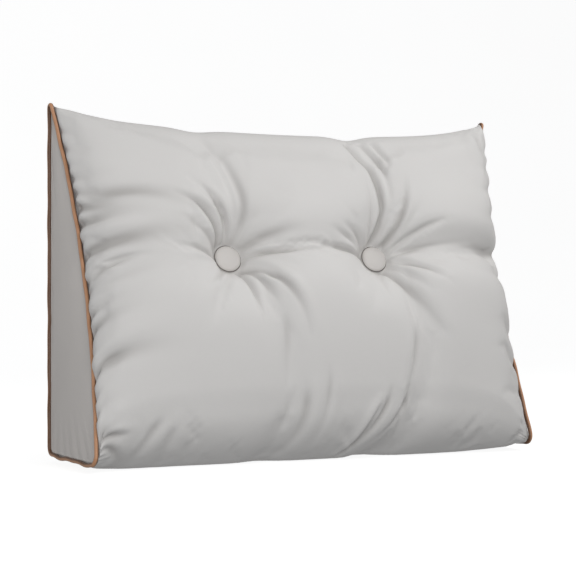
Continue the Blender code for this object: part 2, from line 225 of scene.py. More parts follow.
def to_curve(x, up, x0, up0, x1, up1, x2, up2, parts=12, extra=0):
    """Signed distance to a curve through three points, and the share of the way along it, for whole arrays.
    Both ends can be made longer, in a straight line, by some extra parts."""
    share = np.linspace(0, 1, parts + 1)
    bend = np.array(((x0, up0), (2 * x1 - (x0 + x2) / 2, 2 * up1 - (up0 + up2) / 2), (x2, up2)))
    weights = np.stack(((1 - share) ** 2, 2 * share * (1 - share), share**2), axis=-1)
    path = weights @ bend
    nearest = np.full(np.shape(x), np.inf)
    signed = np.zeros(np.shape(x))
    along = np.zeros(np.shape(x))
    for i in range(parts):
        step = path[i + 1] - path[i]
        offset_x, offset_up = x - path[i, 0], up - path[i, 1]
        lowest, highest = (-extra if i == 0 else 0), (1 + extra if i == parts - 1 else 1)
        part = np.clip((offset_x * step[0] + offset_up * step[1]) / (step @ step), lowest, highest)
        distance = np.hypot(offset_x - part * step[0], offset_up - part * step[1])
        closer = distance < nearest
        side = np.sign(step[0] * offset_up - step[1] * offset_x)
        signed = np.where(closer, distance * side, signed)
        along = np.where(closer, (i + part) / parts, along)
        nearest = np.where(closer, distance, nearest)
    return signed, along


def valley_depth(x, up, row):
    """A bell across the curve, exp(-(distance / half width) squared), whose depth changes evenly along it."""
    distance, along = to_curve(x, up, *row[:6])
    return (row[7] + (row[8] - row[7]) * along) * np.exp(-((distance / row[6]) ** 2))


def front_bulge(loop):
    """How far the belly stands out: one sine arch from the roll to the top's arc, eased at both ends by a
    weighted mean over a few places beside each point."""
    foot, top = metres_up(np.array((0.0, 1.0)))
    below, above = BULGE_REACH
    up = metres_up(loop)
    steps = np.arange(-4, 5)
    weights = np.exp(-0.5 * (steps * 0.5) ** 2)
    length = top - foot + below + above
    arch = sum(
        weight * np.sin(np.pi * np.clip((up + step * 0.5 * BULGE_EASE - foot + below) / length, 0, 1))
        for step, weight in zip(steps, weights)
    )
    return np.where((loop < 2) | (loop > 5), FRONT_BULGE * arch / weights.sum(), 0.0)


def seam_ends(left, right):
    offset = CORD_RADIUS + CLEARANCE
    return -end_x(-1, left[..., 0], left[..., 1]) + offset, end_x(1, right[..., 0], right[..., 1]) - offset


def cover_points(t, loop):
    """The cover's surface: t from -1 at the left seam to 1 at the right one, loop round the section.

    point = seam + (middle - seam) * blend, less the pits and valleys along the middle section's normal.
    """
    left, _ = belt(seam_circles(-1), loop, -INSET)
    right, _ = belt(seam_circles(1), loop, -INSET)
    middle, outward = belt(MIDDLE_CIRCLES, loop)
    piece = np.minimum(np.floor(loop).astype(int), 5)
    swell = np.sin(np.pi * np.clip(loop - piece, 0, 1))
    bulge = np.where(piece == 2, BACK_BULGE * swell**1.4, front_bulge(loop))
    middle = middle + outward * bulge[..., None]
    right_share = (t + 1) / 2
    seam = left + (right - left) * right_share[..., None]
    x_left, x_right = seam_ends(left, right)
    x = x_left + (x_right - x_left) * right_share
    size = np.clip(np.abs(t), 0, 1)
    height = seam[..., 1] / HEIGHT
    low_right = np.clip((0.58 - height) / 0.5, 0, 1) * (t > 0)
    high_left = np.clip((height - 0.22) / 0.30, 0, 1) * (t < 0)
    rise = (1 - size**4) ** (0.38 + 0.40 * low_right + 0.14 * high_left - 0.04 * (t < 0))
    sag = (1 - size**2) ** 0.6
    near_top = smooth((height - 0.72) / 0.26)
    blend = np.stack((rise + (sag - rise) * 0.3 * near_top, rise + (sag - rise) * near_top), axis=-1)
    section = seam + (middle - seam) * blend
    lobe = 4 * rise * (1 - rise) * (1 - low_right)
    for side, middle_height, half, share_out in PUFFS:
        puff = share_out * np.exp(-(((seam[..., 1] - middle_height) / half) ** 2))
        lobe = lobe + np.where(side * t > 0, puff * 6.75 * rise**2 * (1 - rise), 0.0)
    x = x + np.sign(t) * SIDE_PUFF * lobe * np.where(piece == 0, swell**0.4, 0.0)
    points = np.stack((x, section[..., 0], section[..., 1]), axis=-1)
    up = metres_up(loop)
    depth = sum(valley_depth(x, up, row) ** 4 for row in VALLEYS) ** 0.25
    for side in (-1, 1):
        away = np.hypot(x - BUTTON_X[side], up - BUTTON_UP)
        depth = depth + PIT_DEPTH * np.exp(-((away / PIT_REACH) ** PIT_POWER))
    depth = depth * (1 - size**24)
    points[..., 1:] -= outward * depth[..., None]
    points[..., 2] = np.maximum(points[..., 2], 0.0)
    points[..., 1] += BACK_Y
    return points


# %% [markdown]
# ## Where the buttons sit
#
# A covered button pulls the cloth flat under its own rim. The seat's plane goes through the bottom of the pit and
# leans with the front. Points under the rim are laid on that plane. Outside it their height comes back, quickly at
# first and then slowly, so that the cloth hugs the rim.

# %% Flat seats under the buttons
def button_t(side):
    loop = np.array([loop_at(BUTTON_UP)])
    left, right = (belt(seam_circles(way), loop)[0] for way in (-1, 1))
    x_left, x_right = seam_ends(left, right)
    return float(2 * (BUTTON_X[side] - x_left[0]) / (x_right[0] - x_left[0]) - 1)


def button_seat(side):
    loop = loop_at(BUTTON_UP)
    t = np.full(3, button_t(side))
    middle, above, below = cover_points(t, np.array([loop, loop + 0.1, loop - 0.1]))
    rise = (above - below) / np.linalg.norm(above - below)
    normal = np.cross((1, 0, 0), rise)
    return middle, normal / np.linalg.norm(normal)


SEATS = {side: button_seat(side) for side in (-1, 1)}
for side, (centre, normal) in SEATS.items():
    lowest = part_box("button_left" if side < 0 else "button_right")
    print("seat", centre.round(4), "normal", normal.round(3), "button box", np.round(lowest[0], 3))


def height_back(away):
    """The share of its height that the cloth has back, at a distance from the button's middle."""
    return 1 - np.exp(-np.maximum(away - SEAT_RADIUS, 0) / SEAT_BLEND)


def flatten_seats(points, share=height_back, reach=0.06):
    """Points within reach of a seat's plane, with their height over it multiplied by a share of the distance."""
    for centre, normal in SEATS.values():
        lift = (points - centre) @ normal
        foot = points - lift[..., None] * normal
        away = np.linalg.norm(foot - centre, axis=-1)
        front = np.abs(lift) < reach
        points = np.where(front[..., None], foot + (lift * share(away))[..., None] * normal, points)
    return points


# %% [markdown]
# ## Grids
#
# A surface on a grid can be made as fine as each region needs. The front is seen from close by, so it gets a point
# every 3 mm, with more of them beside the seams, while the flat back and the base need fewer. A coarser grid of
# the same surface is enough for the cloth simulation.

# %% Values of t and of loop for a coarse and a fine grid
def graded(reach, step, edge):
    """Places from -1 to 1, step metres apart, with the edge's own places beside both ends."""
    edge = np.array(edge) / reach
    count = round((2 - 2 * edge[-1]) * reach / step)
    return np.concatenate((edge[:-1] - 1, np.linspace(edge[-1] - 1, 1 - edge[-1], count + 1), 1 - edge[-2::-1]))


def crowded(start, end, step, places, fine, half):
    """Places from start to end, step apart, and down to fine apart beside some places, in a bell of that half
    width: the sum of 1 / spacing is read backwards at whole numbers."""
    dense = np.linspace(start, end, 2000)
    bell = np.max([np.exp(-(((dense - place) / half) ** 2)) for place in places], axis=0)
    spacing = step + (fine - step) * bell
    count = np.concatenate(([0.0], np.cumsum(np.diff(dense) / spacing[1:])))
    return np.interp(np.linspace(0, count[-1], round(count[-1]) + 1), count, dense)


def round_the_loop(**rows):
    """Loop values, with the given number of rows on each of the six pieces."""
    return np.concatenate([i + np.arange(n) / n for i, n in enumerate(rows.values())])


SEAM_EDGE = np.array((0.0, 0.0012, 0.0026, 0.0043, 0.0064, 0.0090))
half_width = WIDTH / 2
inner_x = crowded(SEAM_EDGE[-1] - half_width, half_width - SEAM_EDGE[-1], 0.0033, BUTTON_X.values(), 0.0017, 0.045)
fine_x = np.concatenate((SEAM_EDGE[:-1] - half_width, inner_x, half_width - SEAM_EDGE[-2::-1]))
fine_t = fine_x / half_width
up_front = crowded(float(metres_up(0.0)), TOP_UP, 0.0031, (BUTTON_UP,), 0.0018, 0.045)[:-1]
front_loop = np.interp(up_front, metres_up(np.linspace(0, 1, 400)), np.linspace(0, 1, 400))
fine_loop = np.concatenate((front_loop, 1 + round_the_loop(top=20, back=60, heel=8, base=16, roll=52)))
coarse_t = graded(WIDTH / 2, 0.0075, (0.0, 0.004, 0.009))
coarse_loop = round_the_loop(front=74, top=9, back=34, heel=5, base=10, roll=18)
print("fine grid", fine_t.size, "by", fine_loop.size, "- coarse grid", coarse_t.size, "by", coarse_loop.size)

# %% [markdown]
# ## Letting the cloth settle
#
# Real filling isn't even, and cloth between a seam and a button buckles a little. Noise could imitate that, but
# a cloth simulation knows where the cloth is held: the end seams, the button seats and the base are pinned, gentle
# pressure stands in for the filling, and the cloth is a little larger than its shape so that it ripples. Only the
# ripples go to the fine surface. The slow part of the moves, a mean over a few centimetres, is mostly taken out,
# because it would change the outline. Beside the pinned places the rest fades to nothing.

# %% Cloth simulation on the coarse grid
def mesh_from(name, vertices, faces):
    mesh = bpy.data.meshes.new(name)
    mesh.from_pydata(vertices.tolist(), [], [tuple(f) for f in faces])
    return mesh


def grid_faces(columns, rows):
    """Quads of a grid of columns, closed round its rows."""
    i, j = np.meshgrid(np.arange(columns - 1), np.arange(rows), indexing="ij")
    after = (j + 1) % rows
    corners = (i * rows + j, i * rows + after, (i + 1) * rows + after, (i + 1) * rows + j)
    return np.stack(corners, axis=-1).reshape(-1, 4)


def settle(points, pinned, frames=20, cap=0.007):
    """Moves of a closed tube of cloth under pressure, each shortened to the cap."""
    columns, rows = points.shape[:2]
    flat = points.reshape(-1, 3)
    ends = np.array([points[0].mean(axis=0), points[-1].mean(axis=0)])
    left = [(len(flat), (j + 1) % rows, j) for j in range(rows)]
    first = (columns - 1) * rows
    right = [(len(flat) + 1, first + j, first + (j + 1) % rows) for j in range(rows)]
    faces = [*grid_faces(columns, rows).tolist(), *left, *right]
    corner = flat[faces[0]]
    if np.cross(corner[0] - corner[1], corner[2] - corner[1]) @ (corner[0] - flat.mean(axis=0)) > 0:
        faces = [face[::-1] for face in faces]
    mesh = mesh_from("settling", np.concatenate((flat, ends)), faces)
    cloth = bpy.data.objects.new("settling", mesh)
    bpy.context.scene.collection.objects.link(cloth)
    held = cloth.vertex_groups.new(name="held")
    held.add(np.flatnonzero(np.append(pinned.ravel(), (True, True))).tolist(), 1.0, "REPLACE")
    settings = cloth.modifiers.new("cloth", "CLOTH").settings
    settings.quality = 6
    settings.mass = 0.3
    settings.tension_stiffness = 12
    settings.compression_stiffness = 12
    settings.shear_stiffness = 6
    settings.bending_stiffness = 0.25
    settings.use_pressure = True
    settings.uniform_pressure_force = 4
    settings.vertex_group_mass = "held"
    settings.shrink_min = -0.022
    settings.effector_weights.gravity = 0
    scene = bpy.context.scene
    for frame_number in range(1, frames + 1):
        scene.frame_set(frame_number)
    settled = cloth.evaluated_get(bpy.context.evaluated_depsgraph_get()).to_mesh()
    moved = np.empty(len(settled.vertices) * 3)
    settled.vertices.foreach_get("co", moved)
    bpy.data.objects.remove(cloth, do_unlink=True)
    scene.frame_set(1)
    move = moved.reshape(-1, 3)[: len(flat)].reshape(points.shape) - points
    length = np.linalg.norm(move, axis=-1, keepdims=True)
    return move * cap * np.tanh(length / cap) / np.maximum(length, 1e-9)


def nearby_mean(values, places, width, total=0.0):
    """A mean along the first axis, weighted by exp(-(distance / width) squared). A total closes it to a ring."""
    apart = places[:, None] - places[None]
    if total:
        apart = (apart + total / 2) % total - total / 2
    weights = np.exp(-((apart / width) ** 2)) * np.gradient(places)
    return np.einsum("ab,bcd->acd", weights / weights.sum(axis=1, keepdims=True), values)


def spline_weights(places, known):
    """Matrix that reads a smooth curve through values at the known places, at other places."""
    index = np.interp(places, known, np.arange(known.size))
    low = np.minimum(np.floor(index).astype(int), known.size - 2)
    s = index - low
    parts = (
        -s / 2 + s**2 - s**3 / 2,
        1 - 2.5 * s**2 + 1.5 * s**3,
        s / 2 + 2 * s**2 - 1.5 * s**3,
        (s**3 - s**2) / 2,
    )
    weights = np.zeros((places.size, known.size))
    for offset, part in zip((-1, 0, 1, 2), parts):
        column = np.clip(low + offset, 0, known.size - 1)
        np.add.at(weights, (np.arange(places.size), column), part)
    return weights


SLOW_REACH, SLOW_SHARE = 0.040, 0.85
SEAM_HELD, SEAT_HELD, BASE_HELD = 0.006, 0.024, 1e-4
SEAM_FADE, BASE_FADE, SEAT_FREE, SEAT_FADE = 0.020, 0.012, 0.020, 0.050
t, loop = np.meshgrid(coarse_t, coarse_loop, indexing="ij")
coarse = flatten_seats(cover_points(t, loop))
pinned = np.abs(t) > 1 - SEAM_HELD
for centre, normal in SEATS.values():
    pinned |= np.linalg.norm(coarse - centre, axis=-1) < SEAT_HELD
pinned |= coarse[..., 2] < BASE_HELD
moves = settle(coarse, pinned)
slow = nearby_mean(moves, coarse_t * half_width, SLOW_REACH)
coarse_run = np.interp(coarse_loop, run_places, run)
slow = nearby_mean(slow.transpose(1, 0, 2), coarse_run, SLOW_REACH, run[-1]).transpose(1, 0, 2)
held_in = smooth((1 - np.abs(t)) * half_width / SEAM_FADE) * smooth(coarse[..., 2] / BASE_FADE)
moves = (moves - SLOW_SHARE * slow) * held_in[..., None]
closed_loop = np.append(coarse_loop, 6.0)
across = spline_weights(fine_t, coarse_t)
around = spline_weights(fine_loop, closed_loop)
around[:, 0] += around[:, -1]
fine_moves = np.einsum("ac,crk,br->abk", across, moves, around[:, :-1])
fine_x_at, fine_up_at = np.meshgrid(fine_x, metres_up(fine_loop), indexing="ij")
for side in (-1, 1):
    away = np.hypot(fine_x_at - BUTTON_X[side], fine_up_at - BUTTON_UP)
    fine_moves = fine_moves * smooth((away - SEAT_FREE) / SEAT_FADE)[..., None]
print(f"settled: largest move {np.abs(moves).max() * 1000:.1f} mm, mean {np.abs(moves).mean() * 1000:.2f} mm")

# %% [markdown]
# ## Creases that run from the buttons
#
# Smooth cloth creases along the lines that a thread pulls it. Each crease in the photograph is one row: a curve
# through three points on the front, a width, a depth, the side its raised lip lies on, and how strong it is at
# either end. Carving them by hand would be slow to change. A row of numbers is quick to move.

# %% Creases of the front
def in_units(rows, *units):
    """Rows of whole numbers, each divided by its column's unit: 1000 for millimetres, 10000 for tenths of one."""
    return [tuple(number / unit for number, unit in zip(row, units)) for row in rows]


CREASES = in_units((
    # x0, up0, x1, up1, x2, up2, width, depth, lip, start, end
    (-133, 364, -143, 406, -178, 453, 40, 72, -1, 10, 0), (-141, 360, -172, 405, -235, 433, 44, 64, -1, 10, 0),
    (-146, 352, -182, 378, -225, 395, 53, 30, -1, 8, 0), (-116, 364, -112, 440, -160, 545, 65, 42, 1, 8, 2),
    (-126, 366, -127, 440, -168, 530, 53, 24, 1, 6, 0), (-151, 340, -185, 346, -228, 350, 38, 42, 1, 9, 0),
    (-332, 322, -303, 331, -255, 339, 44, 53, 1, 6, 0), (-143, 320, -160, 304, -184, 284, 37, 34, 1, 9, 0),
    (-136, 316, -150, 290, -162, 262, 44, 20, 1, 8, 0), (-110, 322, -62, 288, -36, 222, 50, 68, 1, 9, 2),
    (-71, 252, -70, 200, -74, 135, 60, 28, 1, 2, 0), (-44, 150, -45, 100, -68, 35, 65, 42, 1, 2, 3),
    (-114, 318, -90, 292, -74, 240, 45, 50, 1, 9, 0), (-121, 315, -109, 275, -105, 215, 42, 45, 1, 9, 0),
    (-104, 330, -72, 312, -50, 290, 53, 24, 1, 8, 0), (-105, 341, -47, 343, 18, 340, 36, 60, 1, 6, 1),
    (86, 342, 34, 349, -42, 353, 38, 54, -1, 6, 1), (-106, 354, -66, 368, -8, 376, 68, 45, 1, 10, 0),
    (87, 353, 66, 373, 28, 386, 50, 50, -1, 10, 0), (84, 347, 48, 367, 12, 379, 44, 33, -1, 9, 0),
    (103, 364, 119, 438, 86, 526, 38, 64, -1, 10, 6), (134, 448, 130, 490, 106, 530, 38, 45, -1, 1, 5),
    (143, 465, 140, 505, 116, 535, 40, 38, -1, 1, 5), (95, 362, 101, 410, 100, 460, 50, 24, 1, 8, 0),
    (112, 366, 131, 425, 134, 470, 48, 30, -1, 8, 0), (122, 362, 150, 408, 170, 476, 40, 60, -1, 10, 0),
    (124, 357, 158, 392, 190, 432, 53, 30, -1, 9, 0), (130, 352, 181, 379, 238, 394, 44, 45, -1, 10, 0),
    (131, 343, 178, 352, 262, 364, 42, 48, -1, 9, 1), (130, 333, 172, 316, 213, 286, 40, 48, 1, 9, 0),
    (124, 325, 150, 303, 180, 268, 44, 39, 1, 9, 0), (114, 318, 142, 282, 180, 228, 65, 54, 1, 9, 3),
    (102, 316, 100, 290, 106, 255, 48, 18, 1, 9, 0), (138, 235, 132, 180, 118, 138, 60, 34, -1, 2, 2),
    (120, 142, 108, 102, 70, 55, 48, 45, -1, 4, 1), (90, 140, 75, 100, 45, 50, 48, 54, -1, 2, 5),
    (78, 128, 60, 90, 34, 30, 42, 54, -1, 2, 9), (-8, 170, -10, 122, -24, 65, 53, 27, 1, 2, 2),
    (-255, 125, -277, 85, -293, 40, 79, 36, 1, 1, 4), (-238, 110, -246, 75, -250, 35, 79, 27, 1, 1, 4),
    (-336, 92, -322, 70, -308, 40, 58, 44, 1, 5, 2), (-337, 120, -318, 108, -297, 98, 55, 42, 1, 5, 0),
    (318, 512, 322, 500, 328, 480, 35, 33, 1, 5, 3), (-336, 402, -262, 424, -190, 402, 88, 36, -1, 5, 2),
    (-337, 300, -290, 312, -215, 322, 79, 27, 1, 4, 0),
), *(1000,) * 6, 10000, 10000, 1, 10, 10)


def crease_height(x, up, row):
    """A trough exp(-(d / w) squared) with a lip beside it, at 2 widths, both fading along the curve."""
    distance, along = to_curve(x, up, *row[:6], extra=4)
    width, depth, lip, start, end = row[6:]
    overrun = np.maximum(np.maximum(-along, along - 1), 0) * math.dist(row[:2], row[4:6])
    strength = start + (1 - start) * smooth(along / 0.3)
    strength = np.where(along > 0.3, end + (1 - end) * (1 - smooth((along - 0.3) / 0.7)), strength)
    beyond = np.exp(-((overrun / (1.6 * width)) ** 2))
    trough = -np.exp(-((distance / width) ** 2))
    ridge = 0.5 * np.exp(-(((distance * lip - 2.1 * width) / (1.6 * width)) ** 2))
    return depth * strength * beyond * (trough + ridge)


t, loop = np.meshgrid(fine_t, fine_loop, indexing="ij")
surface = flatten_seats(cover_points(t, loop)) + fine_moves
up = metres_up(loop)
front = (loop < 1.1) | (loop > 5.0)
creases = np.where(front, sum(crease_height(surface[..., 0], up, row) for row in CREASES), 0.0)
print(f"{len(CREASES)} creases, {creases.min() * 1000:.1f} to {creases.max() * 1000:.1f} mm")

# %% [markdown]
# ## Gathers along the end seams
#
# The cover is eased into a shorter seam, so its edge gathers: many small folds start at the piping, square to it,
# and fade within a few centimetres. The strong ones are seen in the photograph and get their own rows. The fine
# ones between them are spread by a seeded generator, which gives the same seam every time.

# %% Gathers
GATHERS = {
    # height on the seam and length in mm, width and depth in tenths of a mm, slope in hundredths
    -1: (
        (464, 30, 50, 26, 10), (437, 35, 55, 40, 10), (412, 40, 55, 40, 15), (393, 90, 65, 73, 12),
        (373, 130, 65, 81, 4), (351, 120, 70, 87, -3), (327, 80, 55, 95, 4), (297, 40, 55, 46, 15),
        (280, 120, 60, 95, 16), (262, 35, 50, 24, 10), (244, 40, 55, 36, 12), (230, 40, 55, 34, 12),
        (193, 60, 55, 76, 8), (173, 60, 55, 70, 2), (135, 30, 50, 30, 0), (112, 95, 60, 87, -6),
        (83, 40, 50, 36, -15), (62, 50, 55, 44, -28), (41, 50, 60, 56, -55),
    ),
    1: (
        (455, 40, 55, 30, 20), (430, 45, 60, 32, 12), (392, 55, 65, 30, 10), (345, 55, 65, 36, 5),
        (288, 80, 70, 56, 0), (246, 55, 60, 34, -5), (205, 45, 60, 28, -5), (160, 55, 60, 30, -12),
        (118, 55, 60, 34, -15), (80, 50, 65, 26, -20),
    ),
}
chance = np.random.default_rng(7)
arc = np.linalg.norm(np.diff(surface, axis=0, prepend=surface[:1]), axis=-1)
from_left = np.cumsum(arc, axis=0)
from_seam = {-1: from_left, 1: from_left[-1:] - from_left}
along_seam = np.interp(loop, run_places, run)
gathers = np.zeros_like(up)
for side, rows in GATHERS.items():
    away = from_seam[side]
    seam_z = belt(seam_circles(side), loop)[0][..., 1]
    start = (1 - np.exp(-((away / 0.0020) ** 2))) * smooth((0.487 - seam_z) / 0.03)
    lips = smooth((away - 0.004) / 0.018)
    for height, length, width, depth, slope in in_units(rows, 1000, 1000, 10000, 10000, 100):
        centre_line = seam_z - height - slope * away
        spread = width * (1 + away / 0.06)
        fade = np.exp(-((away / length) ** 2)) * start * smooth((away + 0.006) / 0.014)
        shape = -np.exp(-((centre_line / spread) ** 2))
        shape = shape + 0.55 * lips * np.exp(-(((centre_line - 2 * spread) / (1.5 * spread)) ** 2))
        gathers += np.where(front, depth * fade * shape, 0.0)
    for _ in range(150):
        place, slope = chance.uniform(0, run[-1]), chance.normal(0, 0.10)
        length, width = chance.uniform(0.006, 0.028), chance.uniform(0.0022, 0.0045)
        depth = chance.uniform(0.0003, 0.0013)
        offset = (along_seam - place - slope * away + run[-1] / 2) % run[-1] - run[-1] / 2
        gathers -= depth * np.exp(-((offset / width) ** 2)) * np.exp(-((away / length) ** 2)) * start
print(f"gathers {gathers.min() * 1000:.1f} to {gathers.max() * 1000:.1f} mm")

# %% [markdown]
# ## The cover's mesh
#
# Heights are applied along the surface's own normal, which is the cross product of its two directions on the
# grid. Inside the end seams the cloth turns in and closes behind the panel, as a shallow cap whose rings shrink to
# one point. Every face corner carries the cloth's own coordinates in metres, across and round, which the weave
# reads later. Every point of the cover also carries how deep in a fold it lies and how far from a seam.

# %% Cover mesh
def grid_normals(points):
    """Unit normals of a grid closed round its rows, pointing away from its middle."""
    down = np.gradient(points, axis=0)
    wrapped = np.concatenate((points[:, -1:], points, points[:, :1]), axis=1)
    around_it = (wrapped[:, 2:] - wrapped[:, :-2]) / 2
    normal = np.cross(around_it, down)
    normal /= np.maximum(np.linalg.norm(normal, axis=-1, keepdims=True), 1e-12)
    outside = np.sum(normal * (points - points.mean(axis=1, keepdims=True)), axis=-1).mean()
    return normal * np.sign(outside)


def cap_points(side, share, loop, inset, offset):
    """An end surface: the seam's belt, inset and shrunk by share towards a point inside the panel."""
    outline, _ = belt(seam_circles(side), loop, -inset)
    centre = np.array((-0.36 * END_DEPTH[side], 0.17))
    section = centre + (outline - centre) * share[..., None]
    x = side * (end_x(side, section[..., 0], section[..., 1]) - offset)
    return np.stack((x, section[..., 0] + BACK_Y, section[..., 1]), axis=-1)


def outward_piece(name, mesh, uvs, points, faces):
    """An object with UVs and smooth shading. Where the volume inside the faces, the sum of their corners' triple
    products, is negative, they look inward and are flipped."""
    mesh.uv_layers.new(name="cloth").data.foreach_set("uv", uvs.astype(np.float32).reshape(-1))
    mesh.shade_smooth()
    first, second, third = (points[faces[:, k]] for k in range(3))
    if np.einsum("ij,ij->i", np.cross(first, second), third).sum() < 0:
        mesh.flip_normals()
    piece = bpy.data.objects.new(name, mesh)
    bpy.context.scene.collection.objects.link(piece)
    return piece


def piece_from_rings(name, rings, across, around):
    """A smooth object from rings of points. Both ends close in a point, and UVs hold across and around."""
    count, rows = rings.shape[:2]
    across = np.broadcast_to(across if np.ndim(across) == 2 else across[:, None], (count, rows))
    vertices = rings.reshape(-1, 3)
    faces = grid_faces(count, rows)
    i, j = faces[:, 0] // rows, faces[:, 0] % rows
    after = (j + 1) % rows
    uvs = np.stack((
        np.stack((across[i, j], around[j]), -1),
        np.stack((across[i, after], around[j + 1]), -1),
        np.stack((across[i + 1, after], around[j + 1]), -1),
        np.stack((across[i + 1, j], around[j]), -1),
    ), axis=1).reshape(-1, 2)
    corners, starts = faces.reshape(-1), np.arange(len(faces)) * 4
    vertices = np.concatenate((vertices, rings[0].mean(axis=0)[None], rings[-1].mean(axis=0)[None]))
    j = np.arange(rows)
    after, last = (j + 1) % rows, (count - 1) * rows
    first_fan = np.stack((np.full(rows, count * rows), after, j), -1)
    last_fan = np.stack((np.full(rows, count * rows + 1), last + j, last + after), -1)

    def fan_uvs(ring, near, far):
        places = ((around[near] + around[far]) / 2, around[near], around[far])
        return np.stack([np.stack((across[ring], place), -1) for place in places], 1)

    uvs = np.concatenate((uvs, fan_uvs(0, j + 1, j).reshape(-1, 2), fan_uvs(-1, j, j + 1).reshape(-1, 2)))
    starts = np.concatenate((starts, corners.size + np.arange(2 * rows) * 3))
    corners = np.concatenate((corners, first_fan.reshape(-1), last_fan.reshape(-1)))
    mesh = bpy.data.meshes.new(name)
    mesh.vertices.add(len(vertices))
    mesh.vertices.foreach_set("co", vertices.astype(np.float32).reshape(-1))
    mesh.loops.add(corners.size)
    mesh.loops.foreach_set("vertex_index", corners.astype(np.int32))
    mesh.polygons.add(starts.size)
    mesh.polygons.foreach_set("loop_start", starts.astype(np.int32))
    mesh.update(calc_edges=True)
    mesh.validate()
    piece = outward_piece(name, mesh, uvs, vertices, faces)
    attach(piece, "root")
    print(f"{name}: {len(vertices)} points, {len(mesh.polygons)} faces")
    return piece


normals = grid_normals(surface)
cloth = surface + normals * (creases + gathers)[..., None]
cloth = flatten_seats(cloth, lambda away: smooth((away - SEAT_RADIUS) / RIM_EASE), reach=0.05)
cloth[..., 2] = np.maximum(cloth[..., 2], 0.0)
shares = np.array((0.02, 0.35, 0.70, 0.90, 0.97))
inner, around_cap = np.meshgrid(shares, fine_loop, indexing="ij")
cap_offset = CORD_RADIUS + CLEARANCE
left_cap = cap_points(-1, inner, around_cap, INSET, cap_offset)
right_cap = cap_points(1, inner, around_cap, INSET, cap_offset)
rings = np.concatenate((left_cap, cloth, right_cap[::-1]))
cloth_across = from_left - from_left[-1:] / 2
cap_reach = 0.08 * (1 - shares)[:, None]
cloth_across = np.concatenate((cloth_across[:1] - cap_reach, cloth_across, cloth_across[-1:] + cap_reach[::-1]))
cloth_round = np.interp(np.append(fine_loop, 6.0), run_places, run)
print(f"cloth: {from_left[-1].max():.3f} m across at most")
cover = piece_from_rings("wrap_cover", rings, cloth_across, cloth_round)
# fold feeds the painted shade inside folds, and edge places the painted shade of the puckers beside the seams.
cover_values = {
    "fold": np.clip(-(creases + gathers) / 0.005, 0, 1),
    "edge": np.minimum(from_seam[-1], from_seam[1]),
}
for name, values in cover_values.items():
    inside = np.pad(values, ((len(shares), len(shares)), (0, 0)))
    numbers = np.append(inside.ravel(), (0.0, 0.0)).astype(np.float32)
    cover.data.attributes.new(name, "FLOAT", "POINT").data.foreach_set("value", numbers)
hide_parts("cover")

# %% [markdown]
# ## The end panels
#
# Each end is closed by a flat cut triangle of the same cloth. It is held all round by the corded seam, bulges a
# little over the filling, and gathers finely where it is eased round the base. A sheet with two faces and a thin
# edge is enough. It is built from rings that shrink from the seam to one point, first outside, then inside.

# %% End panels
PANEL_REACH, PANEL_GAP, PANEL_OUTSIDE, PANEL_INSIDE = 0.09, 0.0004, 0.0010, 0.0030


def panel_height(side, share, loop, points):
    """Small folds that run in from the seam and fade, deepest along the base, and one slow slanting wave."""
    inward = (1 - share) * PANEL_REACH
    place = np.interp(loop, run_places, run)
    folds = np.zeros_like(share)
    spread = np.random.default_rng(11 + side)
    for _ in range(46):
        middle = spread.uniform(0, run[-1])
        width, length = spread.uniform(0.003, 0.007), spread.uniform(0.006, 0.020)
        depth = spread.uniform(0.0003, 0.0011)
        offset = (place - middle + run[-1] / 2) % run[-1] - run[-1] / 2
        folds -= depth * np.exp(-((offset / width) ** 2)) * np.exp(-((inward / length) ** 2))
    base = np.interp(4.5, run_places, run)
    for shift in (-0.052, -0.034, -0.018, -0.004, 0.013, 0.029, 0.046):
        folds -= 0.0018 * np.exp(-(((place - base - shift) / 0.0045) ** 2)) * np.exp(-((inward / 0.022) ** 2))
    waves = 0.0010 * np.sin(points[..., 2] * 34 + points[..., 1] * 21 + side) * smooth(inward / 0.03)
    return (folds + waves) * smooth((1 - share) / 0.02)


panel_loop = round_the_loop(front=130, top=14, back=110, heel=10, base=56, roll=44)
panel_shares = np.concatenate((np.linspace(0.03, 0.9, 26), np.linspace(0.915, 1.0, 9)))
panel_round = np.interp(np.append(panel_loop, 6.0), run_places, run)
share, loop_p = np.meshgrid(panel_shares, panel_loop, indexing="ij")
for side, word in WORDS.items():
    outer = cap_points(side, share, loop_p, CORD_RADIUS + PANEL_GAP, PANEL_OUTSIDE)
    outer[..., 0] += side * panel_height(side, share, loop_p, outer)
    inner_side = cap_points(side, share, loop_p, CORD_RADIUS + PANEL_GAP, PANEL_INSIDE)
    rings = np.concatenate((outer, inner_side[::-1]))
    reach = np.concatenate((panel_shares, 2 - panel_shares[::-1])) * PANEL_REACH
    panel = piece_from_rings(f"side_cloth_{word}", rings, reach, panel_round)
    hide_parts(f"end_panel_{word}")
